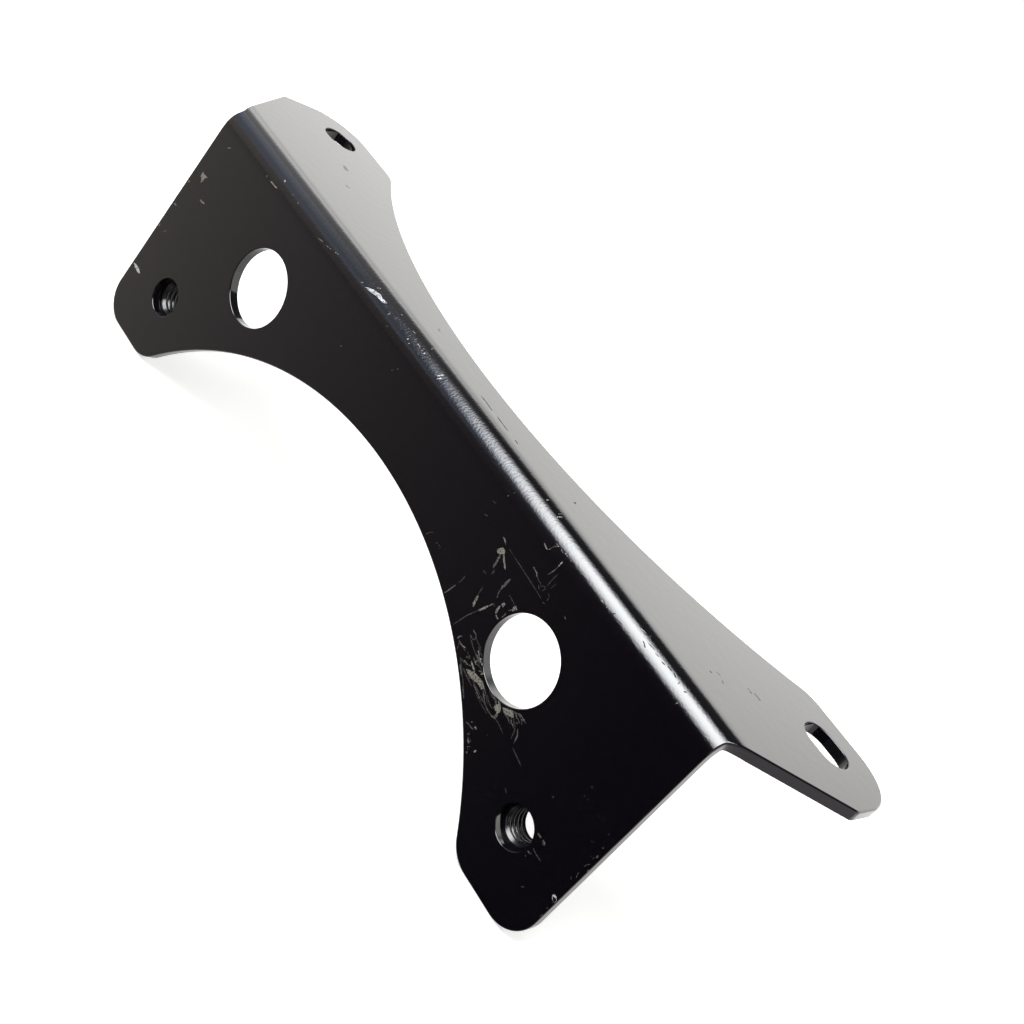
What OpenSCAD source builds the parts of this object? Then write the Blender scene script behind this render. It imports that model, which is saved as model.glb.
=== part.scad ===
// Headlight mounting bracket: one steel sheet, pierced, arc-cut and folded once, with a weld nut behind each
// threaded hole. The tall front flange stands in the XZ plane with its outer face towards -Y. The shorter top
// flange runs back from the fold along +Y. The origin lies on the front face, midway between the two large
// holes, and left and right are as seen by someone who faces the front flange.

/* [Sheet] */
// Thickness of the steel sheet
sheet_t = 2.5; // [1.5:0.1:3.2]
// Inside radius of the fold
fold_r = 3; // [1:0.25:6]
// Chamfer that breaks the rim of each hole
rim_break = 0.25; // [0.1:0.05:0.5]

/* [Front flange] */
// Length of the front flange along the fold
front_w = 186; // [176:0.5:192]
// Height of the bracket, from the feet to the top face
front_h = 60.4; // [57:0.2:70]
// Radius of the outer corner of each foot
foot_corner_r = 7.6; // [3:0.2:9]

/* [Lamp arc] */
// Radius of the arc that clears the round headlight
lamp_arc_r = 88.5; // [85:0.5:91]
// Depth of the arc's centre below the feet
lamp_arc_drop = 51.2; // [50:0.2:56]
// Radius that blends each foot into the arc
foot_blend_r = 8.2; // [3:0.2:8.4]

/* [Large holes] */
// Diameter of the two large holes
large_hole_d = 18; // [10:0.5:20]
// Distance between the centres of the large holes
large_hole_span = 109.5; // [106:0.5:116]
// Height of the large holes above the feet
large_hole_h = 37.1; // [35:0.1:39]

/* [Threaded holes] */
// Distance of each threaded hole's centre from the end of the front flange
thread_inset = 16; // [13:0.5:18]
// Height of the threaded holes above the feet
thread_h = 15.5; // [14:0.1:20]
// Diameter of the sheet's clearance hole in front of each nut
thread_clear_d = 9; // [8.5:0.1:10]
// Inner diameter of the nut's thread, for an 8 mm screw
thread_bore_d = 6.65; // [5:0.05:7]
// Width across the flats of the square weld nut
nut_w = 14; // [13:0.5:16]
// Height of the weld nut
nut_h = 6.5; // [4:0.1:8]
// Depth of the chamfer at each mouth of the nut's thread
nut_mouth = 0.6; // [0.3:0.1:0.9]
// Angle of the chamfer round the nut's free face
nut_crown_angle = 30; // [15:5:40]
// Inset of that chamfer's circle from the nut's flats
nut_crown_inset = 0.3; // [0.1:0.1:0.8]

/* [Top flange] */
// Depth of the top flange, from the front face to its back edge
top_depth = 47.4; // [46:0.2:55]
// How far the left ear reaches past the end of the front flange
left_overhang = 16.4; // [14:0.2:24]
// How far the right ear reaches past the end of the front flange
right_overhang = 18.4; // [14:0.2:24]
// Angle at which each ear flares out from the fold
flare_angle = 35.5; // [33:0.5:45]
// Radius of the blunt corner where the flare ends
ear_nose_r = 2.5; // [1:0.5:5]
// Radius of each ear's back corner
ear_corner_r = 11.8; // [6:0.2:13]
// Radius of the shallow arc in the back edge
back_arc_r = 131; // [124:0.5:136]
// Distance of that arc's lowest point from the front face
back_arc_low = 16.8; // [14:0.2:19]
// Radius that blends the back edge into the arc
back_blend_r = 8.2; // [4:0.2:10]

/* [Ear holes] */
// Diameter of the round hole in the left ear, and width of the slot in the right
ear_hole_d = 8.8; // [6:0.1:9.5]
// End-to-end length of the slot in the right ear
ear_slot_len = 11.4; // [10:0.2:14]
// Distance of the hole's and the slot's centres past the end of the front flange
ear_hole_outset = 3.3; // [0:0.1:5.5]
// Distance from the back edge to the centres of the hole and the slot
ear_hole_inset = 10.7; // [8:0.1:12]

/* [Hidden] */
$fn = 180;
// How far a cutter runs past the face that it cuts
over = 1;
// How far a corner's waste reaches, in radii of that corner
waste_reach = 2.4;
// Outer radius of the fold
fold_outer_r = fold_r + sheet_t;
// Reach of each ear from the middle
left_reach = front_w / 2 + left_overhang;
right_reach = front_w / 2 + right_overhang;
// Heights of the feet, the top face and the threaded holes from the origin
feet_z = -large_hole_h;
top_z = front_h - large_hole_h;
thread_z = thread_h - large_hole_h;
// Distances between the centres of the threaded holes, and of the ears' hole and slot
thread_span = front_w - 2 * thread_inset;
ear_hole_span = front_w + 2 * ear_hole_outset;
// Centre of the lamp arc, and of the circle that blends a foot into it
lamp_z = feet_z - lamp_arc_drop;
foot_blend_z = feet_z + foot_blend_r;
foot_blend_x = sqrt(pow(lamp_arc_r + foot_blend_r, 2) - pow(foot_blend_z - lamp_z, 2));
// Centre of the back arc, and of the circle that blends the back edge into it
back_arc_y = back_arc_low + back_arc_r;
back_blend_y = top_depth - back_blend_r;
back_blend_x = sqrt(pow(back_arc_r + back_blend_r, 2) - pow(back_arc_y - back_blend_y, 2));
// Distance from an ear's nose to where its rounding meets the end edge
nose_tangent = ear_nose_r * tan(flare_angle / 2);
sheet_steel = [0.07, 0.07, 0.08];

// Distance from the front face at which a flare of this reach ends
function nose_y(reach) = sheet_t + (reach - front_w / 2) / tan(flare_angle);

// The waste outside a rounded corner: a wedge between two angles, less the round itself
module corner_waste(centre, r, from, to) {
    translate(centre) difference() {
        polygon([
            [0, 0],
            waste_reach * r * [cos(from), sin(from)],
            waste_reach * r * [cos(to), sin(to)]
        ]);
        circle(r = r);
    }
}

// The folded sheet seen from its end: front flange, fold and top flange, drawn in Y and Z
module fold_section() {
    difference() {
        translate([0, feet_z]) square([top_depth, front_h]);
        corner_waste([fold_outer_r, top_z - fold_outer_r], fold_outer_r, 90, 180);
        difference() {
            translate([sheet_t, feet_z - over]) square([top_depth, front_h - sheet_t + over]);
            corner_waste([fold_outer_r, top_z - fold_outer_r], fold_r, 90, 180);
        }
    }
}

// The front flange seen from the front, open to the ears above: two feet beside the lamp arc
module front_outline() {
    difference() {
        translate([-left_reach - over, feet_z]) square([left_reach + right_reach + 2 * over, front_h + over]);
        translate([0, lamp_z]) circle(r = lamp_arc_r);
        for (side = [0, 1]) mirror([side, 0]) {
            corner_waste([front_w / 2 - foot_corner_r, feet_z + foot_corner_r], foot_corner_r, -90, 0);
            corner_waste([foot_blend_x, foot_blend_z], foot_blend_r,
                -180 + atan2(foot_blend_z - lamp_z, foot_blend_x), -90);
        }
    }
}

// One ear's rounded corners: the blunt nose at the end of the flare and the back corner
module ear_waste(reach) {
    corner_waste([reach - ear_nose_r, nose_y(reach) + nose_tangent], ear_nose_r, -flare_angle, 0);
    corner_waste([reach - ear_corner_r, top_depth - ear_corner_r], ear_corner_r, 0, 90);
    corner_waste([back_blend_x, back_blend_y], back_blend_r,
        90, 180 - atan2(back_arc_y - back_blend_y, back_blend_x));
}

// The bracket seen from above: straight ends beside the front flange, flared ears and the back arc
module plan_outline() {
    difference() {
        polygon([
            [-front_w / 2, 0], [front_w / 2, 0], [front_w / 2, sheet_t],
            [right_reach, nose_y(right_reach)], [right_reach, top_depth],
            [-left_reach, top_depth], [-left_reach, nose_y(left_reach)],
            [-front_w / 2, sheet_t]
        ]);
        translate([0, back_arc_y]) circle(r = back_arc_r);
        ear_waste(right_reach);
        mirror([1, 0]) ear_waste(left_reach);
    }
}

// A drill for the sheet along +Z from z = 0, with the chamfers that break both rims
module sheet_drill(d) {
    translate([0, 0, -over]) cylinder(d = d, h = sheet_t + 2 * over);
    rim_chamfer(d);
    translate([0, 0, sheet_t]) mirror([0, 0, 1]) rim_chamfer(d);
}

// The chamfer of one rim, opening downwards through z = 0
module rim_chamfer(d) {
    translate([0, 0, -over])
        cylinder(r1 = d / 2 + rim_break + over, r2 = d / 2, h = rim_break + over);
}

// Places what is drawn along +Z so that it runs back from the front face at this spot
module on_front(x, z) {
    translate([x, 0, z]) rotate([-90, 0, 0]) children();
}

// Places what is drawn along +Z so that it rises through the top flange, on the line of the ear holes
module on_ear(x) {
    translate([x, top_depth - ear_hole_inset, top_z - sheet_t]) children();
}

module bracket() {
    color(sheet_steel) difference() {
        intersection() {
            translate([-left_reach - over, 0, 0]) rotate([90, 0, 90])
                linear_extrude(left_reach + right_reach + 2 * over) fold_section();
            translate([0, 0, feet_z - over]) linear_extrude(front_h + 2 * over) plan_outline();
            translate([0, top_depth + over, 0]) rotate([90, 0, 0])
                linear_extrude(top_depth + 2 * over) front_outline();
        }
        for (side = [-1, 1]) {
            on_front(side * large_hole_span / 2, 0) sheet_drill(large_hole_d);
            on_front(side * thread_span / 2, thread_z) sheet_drill(thread_clear_d);
        }
        on_ear(-ear_hole_span / 2) sheet_drill(ear_hole_d);
        on_ear(ear_hole_span / 2) slot_drill();
    }
}

// The slot: a drill at each end and the straight stretch between them, with the same broken rims
module slot_drill() {
    half_run = (ear_slot_len - ear_hole_d) / 2;
    for (side = [-1, 1]) translate([side * half_run, 0, 0]) sheet_drill(ear_hole_d);
    translate([-half_run, 0, 0]) rotate([90, 0, 90]) linear_extrude(2 * half_run) slot_section();
}

// The slot's straight stretch seen from its end
module slot_section() {
    wall = ear_hole_d / 2;
    mouth = wall + rim_break + over;
    polygon([
        [-mouth, -over], [mouth, -over], [wall, rim_break], [wall, sheet_t - rim_break],
        [mouth, sheet_t + over], [-mouth, sheet_t + over], [-wall, sheet_t - rim_break], [-wall, rim_break]
    ]);
}

// A square weld nut, welded by its front face to the back of the front flange
module weld_nut(side) {
    corner_r = nut_w / sqrt(2) + over;
    crown_r = nut_w / 2 - nut_crown_inset;
    crown_drop = (corner_r - crown_r) * tan(nut_crown_angle);
    on_front(side * thread_span / 2, thread_z) translate([0, 0, sheet_t]) difference() {
        intersection() {
            translate([-nut_w / 2, -nut_w / 2, 0]) cube([nut_w, nut_w, nut_h]);
            rotate_extrude() polygon([
                [0, -over], [corner_r, -over], [corner_r, nut_h - crown_drop], [crown_r, nut_h], [0, nut_h]
            ]);
        }
        translate([0, 0, -over]) cylinder(d = thread_bore_d, h = nut_h + 2 * over);
        nut_mouth_chamfer();
        translate([0, 0, nut_h]) mirror([0, 0, 1]) nut_mouth_chamfer();
    }
}

// The chamfer of one mouth of the thread, opening downwards through z = 0
module nut_mouth_chamfer() {
    translate([0, 0, -over])
        cylinder(r1 = thread_bore_d / 2 + nut_mouth + over, r2 = thread_bore_d / 2, h = nut_mouth + over);
}

module weld_nut_left() {
    color("dimgray") weld_nut(-1);
}

module weld_nut_right() {
    color("dimgray") weld_nut(1);
}

bracket();
weld_nut_left();
weld_nut_right();
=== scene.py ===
"""Looks, studio light and camera for a folded, gloss black headlight mounting bracket.

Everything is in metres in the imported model's own frame: +X along the fold, +Y back from the front
flange and +Z up through the top flange. Sizes of the steel are held in millimetres and turned into
metres where a mesh is made.
"""

from __future__ import annotations

import logging
import math
import random
from bisect import bisect_left
from dataclasses import dataclass, field
from enum import Enum
from functools import cached_property
from typing import Iterable, Sequence

import bmesh
import bpy
from bpy.types import ID, Material, Mesh, Node, NodeSocket, Object, World
from mathutils import Matrix, Vector
from mathutils.geometry import delaunay_2d_cdt, tessellate_polygon


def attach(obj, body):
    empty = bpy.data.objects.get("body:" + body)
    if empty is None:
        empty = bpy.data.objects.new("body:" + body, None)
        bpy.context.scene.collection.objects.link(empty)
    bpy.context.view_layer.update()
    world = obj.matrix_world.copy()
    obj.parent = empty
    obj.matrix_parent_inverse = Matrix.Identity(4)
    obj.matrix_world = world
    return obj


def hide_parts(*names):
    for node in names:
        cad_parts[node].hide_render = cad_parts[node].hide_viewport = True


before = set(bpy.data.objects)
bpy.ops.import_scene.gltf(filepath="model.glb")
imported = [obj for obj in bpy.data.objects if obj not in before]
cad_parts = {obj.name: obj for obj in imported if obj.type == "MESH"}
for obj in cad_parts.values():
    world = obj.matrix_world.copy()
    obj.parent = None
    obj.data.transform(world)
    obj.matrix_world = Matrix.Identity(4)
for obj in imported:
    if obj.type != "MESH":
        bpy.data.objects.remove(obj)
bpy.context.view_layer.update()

LOG = logging.getLogger("bracket")
MM = 0.001
ROOT = "root"

Flat = tuple[float, float]
Triple = tuple[float, float, float]
Fade = tuple[float, float]
Plateau = tuple[float, float, float, float]

UP = Vector((0.0, 0.0, 1.0))

# Greatest distances between neighbouring points of an outline, in millimetres
ARC_STEP = 0.45
LONG_ARC_STEP = 1.2
FINE_STEP = 0.25
FILLET_STEP = 0.2

# Limits on the number of steps in an arc
LEAST_STEPS = 6
ENOUGH_STEPS = 24
FINEST_TURN_DEG = 1.2


class Side(Enum):
    """Which end of the bracket a thing is at, as seen by someone who faces the front flange."""

    LEFT = -1
    RIGHT = 1


class Skin(Enum):
    """The two faces of the sheet: the one that shows outside the fold, and the one inside it."""

    OUTER = 1
    INNER = -1


# Sheet geometry


@dataclass(frozen=True)
class FoldSection:
    """The folded sheet seen from its end, followed by the run over its outer face.

    The run is zero where the fold starts, negative down the front flange and positive over the fold
    and back along the top flange. All lengths are in millimetres.
    """

    thickness: float = 2.5
    inner_radius: float = 3.0
    feet_z: float = -37.1
    top_z: float = 23.3
    depth: float = 47.4
    ease: float = 1.9
    samples: int = 600

    @property
    def outer_radius(self) -> float:
        """Outer radius of the fold."""
        return self.inner_radius + self.thickness

    @property
    def fold_run(self) -> float:
        """Run from one end of the fold to the other."""
        return self.outer_radius * math.pi / 2

    @property
    def eased_run(self) -> float:
        """Run over which the sheet curves at all, with the easing at both ends."""
        return self.fold_run + 2 * self.ease

    @cached_property
    def path(self) -> list[Flat]:
        """Depth and rise at even steps of run, from where the fold eases in to where it has eased out."""
        step = self.eased_run / self.samples
        points = [(0.0, 0.0)]
        for index in range(self.samples):
            turn = self.turn((index + 0.5) * step - self.ease)
            y, z = points[-1]
            points.append((y + math.sin(turn) * step, z + math.cos(turn) * step))
        return points

    @cached_property
    def start_z(self) -> float:
        """Height at which the run over the front flange is zero."""
        return self.top_z - self.path[-1][1] + self.ease

    def run_at_height(self, z: float) -> float:
        """Run of a point on the front flange."""
        return z - self.start_z

    def run_at_depth(self, y: float) -> float:
        """Run of a point of the fold or the top flange that lies this far behind the front face."""
        if y >= self.path[-1][0]:
            return self.fold_run + self.ease + y - self.path[-1][0]
        index = max(bisect_left(self.path, (y, 0.0)), 1)
        before = self.path[index - 1][0]
        part = (y - before) / (self.path[index][0] - before)
        return (index - 1 + part) * self.eased_run / self.samples - self.ease

    def turn(self, run: float) -> float:
        """Angle through which the sheet has turned at this run.

        The curve eases in and out of its full tightness, as a pressed fold does.

        Args:
            run: Run over the outer face.

        Returns:
            Nought in front, a right angle on top.
        """
        if run > self.fold_run / 2:
            return math.pi / 2 - self.turn(self.fold_run - run)
        if run >= self.ease:
            return run / self.outer_radius
        return max(run + self.ease, 0.0) ** 2 / (4 * self.ease * self.outer_radius)

    def normal(self, run: float) -> Vector:
        """Outward normal of the outer face."""
        turn = self.turn(run)
        return Vector((0.0, -math.cos(turn), math.sin(turn)))

    def along(self, run: float) -> Vector:
        """Direction in which the run grows."""
        turn = self.turn(run)
        return Vector((0.0, math.sin(turn), math.cos(turn)))

    def place(self, x: float, run: float, depth: float = 0.0) -> Vector:
        """Puts a point of the flat blank onto the folded sheet.

        Args:
            x: Place along the fold.
            run: Run over the outer face.
            depth: Distance below the outer face, or above it where negative.

        Returns:
            The point in the row frame, in millimetres.
        """
        step = min(max((run + self.ease) / self.eased_run, 0.0), 1.0) * self.samples
        index = min(int(step), self.samples - 1)
        part = step - index
        y = self.path[index][0] * (1 - part) + self.path[index + 1][0] * part
        z = self.path[index][1] * (1 - part) + self.path[index + 1][1] * part
        y += max(run - self.fold_run - self.ease, 0.0)
        z += self.start_z - self.ease + min(run + self.ease, 0.0)
        return Vector((x, y, z)) - depth * self.normal(run)


def between(first: Flat, second: Flat, part: float) -> Flat:
    """The point this share of the way from the first point to the second."""
    return first[0] + (second[0] - first[0]) * part, first[1] + (second[1] - first[1]) * part


def arc(centre: Flat, radius: float, start: float, end: float, step: float = ARC_STEP) -> list[Flat]:
    """Points along a circular arc, ends included.

    Args:
        centre: Centre of the arc.
        radius: Its radius.
        start: Angle of the first point, in degrees.
        end: Angle of the last point, in degrees; lower than start for a clockwise arc.
        step: Greatest distance between neighbouring points.

    Returns:
        The points in order.
    """
    sweep = math.radians(end - start)
    count = max(LEAST_STEPS, math.ceil(abs(sweep) * radius / step))
    count = min(count, max(ENOUGH_STEPS, math.ceil(abs(sweep) / math.radians(FINEST_TURN_DEG))))
    points = []
    for index in range(count + 1):
        angle = math.radians(start) + sweep * index / count
        points.append((centre[0] + radius * math.cos(angle), centre[1] + radius * math.sin(angle)))
    return points


def cleaned(points: Iterable[Flat], least: float = 0.02) -> list[Flat]:
    """Drops points of a closed loop that lie on top of the one before them."""
    loop: list[Flat] = []
    for point in points:
        if not loop or math.dist(point, loop[-1]) > least:
            loop.append(point)
    if math.dist(loop[0], loop[-1]) <= least:
        loop.pop()
    return loop


@dataclass(frozen=True)
class Blank:
    """Outline and holes of the bracket, as seen on the outer face of the unfolded sheet.

    Each loop keeps the steel on its left. All lengths are in millimetres.
    """

    section: FoldSection = FoldSection()
    half_width: float = 93.0
    foot_corner_r: float = 7.6
    lamp_arc_r: float = 88.5
    lamp_arc_drop: float = 51.2
    foot_blend_r: float = 8.2
    left_reach: float = 109.4
    right_reach: float = 111.4
    flare_deg: float = 35.5
    flare_start_y: float = 2.5
    flare_fillet_r: float = 2.0
    nose_r: float = 2.5
    ear_corner_r: float = 11.8
    back_arc_r: float = 131.0
    back_arc_low: float = 16.8
    back_blend_r: float = 8.2
    large_hole_r: float = 9.0
    large_hole_x: float = 54.75
    screw_hole_r: float = 4.5
    screw_hole_x: float = 77.0
    screw_hole_z: float = -21.6
    ear_hole_r: float = 4.4
    ear_hole_x: float = 96.3
    ear_hole_y: float = 36.7
    slot_half_run: float = 1.3
    edge_rim_r: float = 0.5
    hole_rim_r: float = 0.24
    flare_steps: int = 40
    side_steps: int = 20

    @property
    def flare(self) -> float:
        """Angle at which the ears flare out from the straight ends, in radians."""
        return math.radians(self.flare_deg)

    @property
    def fillet_y(self) -> float:
        """Depth at which a straight end turns into its flare's fillet."""
        return self.flare_start_y - self.flare_fillet_r * math.tan(self.flare / 2)

    @cached_property
    def large_centres(self) -> list[Flat]:
        """Centres of the two large holes on the unfolded sheet."""
        level = self.section.run_at_height(0.0)
        return [(side.value * self.large_hole_x, level) for side in Side]

    def bottom(self) -> list[Flat]:
        """Left foot, lamp arc and right foot in the plane of the front flange, from left to right."""
        feet = self.section.feet_z
        lamp = (0.0, feet - self.lamp_arc_drop)
        blend_z = feet + self.foot_blend_r
        blend_x = math.sqrt((self.lamp_arc_r + self.foot_blend_r) ** 2 - (blend_z - lamp[1]) ** 2)
        meet = math.degrees(math.atan2(blend_z - lamp[1], blend_x))
        corner = (self.half_width - self.foot_corner_r, feet + self.foot_corner_r)
        points = arc((-corner[0], corner[1]), self.foot_corner_r, 180, 270)
        points += arc((-blend_x, blend_z), self.foot_blend_r, 270, 360 - meet)
        points += arc(lamp, self.lamp_arc_r, 180 - meet, meet, LONG_ARC_STEP)
        points += arc((blend_x, blend_z), self.foot_blend_r, 180 + meet, 270)
        points += arc(corner, self.foot_corner_r, 270, 360)
        return points

    def ear(self, reach: float) -> list[Flat]:
        """One ear seen from above with +X outwards, from the flare's start to the middle of the back arc."""
        fillet = (self.half_width + self.flare_fillet_r, self.fillet_y)
        nose_y = self.flare_start_y + (reach - self.half_width) / math.tan(self.flare)
        nose = (reach - self.nose_r, nose_y + self.nose_r * math.tan(self.flare / 2))
        corner = (reach - self.ear_corner_r, self.section.depth - self.ear_corner_r)
        centre_y = self.back_arc_low + self.back_arc_r
        blend_y = self.section.depth - self.back_blend_r
        blend_x = math.sqrt((self.back_arc_r + self.back_blend_r) ** 2 - (centre_y - blend_y) ** 2)
        meet = math.degrees(math.atan2(centre_y - blend_y, blend_x))
        points = arc(fillet, self.flare_fillet_r, 180, 180 - self.flare_deg, FILLET_STEP)
        start = points[-1]
        end = (nose[0] + self.nose_r * math.cos(self.flare), nose[1] - self.nose_r * math.sin(self.flare))
        # The straight flare has points all the way, so that it follows the fold
        points += [between(start, end, step / self.flare_steps) for step in range(1, self.flare_steps)]
        points += arc(nose, self.nose_r, -self.flare_deg, 0, FINE_STEP)
        points += arc(corner, self.ear_corner_r, 0, 90)
        points += arc((blend_x, blend_y), self.back_blend_r, 90, 180 - meet)
        points += arc((0.0, centre_y), self.back_arc_r, -meet, -90, LONG_ARC_STEP)
        return points

    def outline(self) -> list[Flat]:
        """The whole outline on the unfolded outer face, anticlockwise from the left foot."""
        section = self.section
        points = [(x, section.run_at_height(z)) for x, z in self.bottom()]
        rest = section.run_at_depth(self.fillet_y) + section.ease
        rise = [-section.ease + rest * step / self.side_steps for step in range(self.side_steps)]
        points += [(self.half_width, run) for run in rise]
        points += [(x, section.run_at_depth(y)) for x, y in self.ear(self.right_reach)]
        points += [(-x, section.run_at_depth(y)) for x, y in reversed(self.ear(self.left_reach))]
        points += [(-self.half_width, run) for run in reversed(rise)]
        return cleaned(points)

    def holes(self) -> list[list[Flat]]:
        """Every hole's loop, clockwise: large and screw holes from left to right, ear hole, ear slot."""
        screw = self.section.run_at_height(self.screw_hole_z)
        ear = self.section.run_at_depth(self.ear_hole_y)
        loops = []
        for side, large in zip(Side, self.large_centres):
            loops.append(arc(large, self.large_hole_r, 360, 0))
            small = (side.value * self.screw_hole_x, screw)
            loops.append(arc(small, self.screw_hole_r, 360, 0, FINE_STEP))
        loops.append(arc((-self.ear_hole_x, ear), self.ear_hole_r, 360, 0, FINE_STEP))
        right_end = arc((self.ear_hole_x + self.slot_half_run, ear), self.ear_hole_r, 90, -90, FINE_STEP)
        left_end = arc((self.ear_hole_x - self.slot_half_run, ear), self.ear_hole_r, 270, 90, FINE_STEP)
        loops.append(right_end + left_end)
        return [cleaned(loop) for loop in loops]


def mitres(loop: Sequence[Flat]) -> list[tuple[Flat, Flat]]:
    """Outward unit normal and outward mitre vector at each point of a closed loop.

    Args:
        loop: Points with the steel on the left of the direction of travel.

    Returns:
        One pair for each point. A mitre vector moves a point so that both edges move by one unit.
    """
    count = len(loop)
    edges = []
    for index in range(count):
        ahead = loop[(index + 1) % count]
        dx = ahead[0] - loop[index][0]
        dy = ahead[1] - loop[index][1]
        length = math.hypot(dx, dy)
        edges.append((dy / length, -dx / length))
    pairs = []
    for index in range(count):
        before = edges[index - 1]
        after = edges[index]
        dot = before[0] * after[0] + before[1] * after[1]
        mitre = ((before[0] + after[0]) / (1 + dot), (before[1] + after[1]) / (1 + dot))
        length = math.hypot(*mitre)
        pairs.append(((mitre[0] / length, mitre[1] / length), mitre))
    return pairs


def holds(loop: Sequence[Flat], point: Flat) -> bool:
    """Whether a closed loop has this point inside it."""
    inside = False
    previous = loop[-1]
    for current in loop:
        if (current[1] > point[1]) != (previous[1] > point[1]):
            slope = (previous[0] - current[0]) / (previous[1] - current[1])
            if point[0] < current[0] + (point[1] - current[1]) * slope:
                inside = not inside
        previous = current
    return inside


def into_scene(name: str, data: ID) -> Object:
    """Makes an object of this mesh, lamp or camera and puts it in the scene."""
    made = bpy.data.objects.new(name, data)
    bpy.context.scene.collection.objects.link(made)
    return made


@dataclass
class Shell:
    """A closed mesh in the making: vertices in millimetres, a normal for each, and faces."""

    vertices: list[Vector] = field(default_factory=list)
    normals: list[Vector] = field(default_factory=list)
    faces: list[tuple[int, ...]] = field(default_factory=list)
    sharp_deg: float = 28.0

    def add(self, place: Vector, normal: Vector = UP) -> int:
        """Adds one vertex and gives its index. The normal counts only where the shell's own are used."""
        self.vertices.append(place)
        self.normals.append(normal)
        return len(self.vertices) - 1

    def band(self, first: Sequence[int], second: Sequence[int]) -> None:
        """Joins two closed rings of vertices with a band of faces."""
        count = len(first)
        for index in range(count):
            ahead = (index + 1) % count
            self.faces.append((first[index], second[index], second[ahead], first[ahead]))

    def mesh_object(self, name: str, finish: Material, own_normals: bool = True) -> Object:
        """Turns the shell into an object of the part.

        Args:
            name: Name of the object.
            finish: Its material.
            own_normals: Whether the shell's own normals shade it; otherwise sharp edges are found by angle.

        Returns:
            The object, riding on the part's one body.
        """
        mesh = bpy.data.meshes.new(name)
        mesh.from_pydata([vertex * MM for vertex in self.vertices], [], self.faces)
        mesh.materials.append(finish)
        for polygon in mesh.polygons:
            polygon.use_smooth = True
        if own_normals:
            mesh.normals_split_custom_set_from_vertices([normal.normalized() for normal in self.normals])
        else:
            self.face_outwards(mesh)
            mesh.set_sharp_from_angle(angle=math.radians(self.sharp_deg))
        piece = into_scene(name, mesh)
        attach(piece, ROOT)
        return piece

    @staticmethod
    def face_outwards(mesh: Mesh) -> None:
        """Turns every face of a closed mesh outwards."""
        work = bmesh.new()
        work.from_mesh(mesh)
        bmesh.ops.recalc_face_normals(work, faces=work.faces)
        work.to_mesh(mesh)
        work.free()


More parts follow.
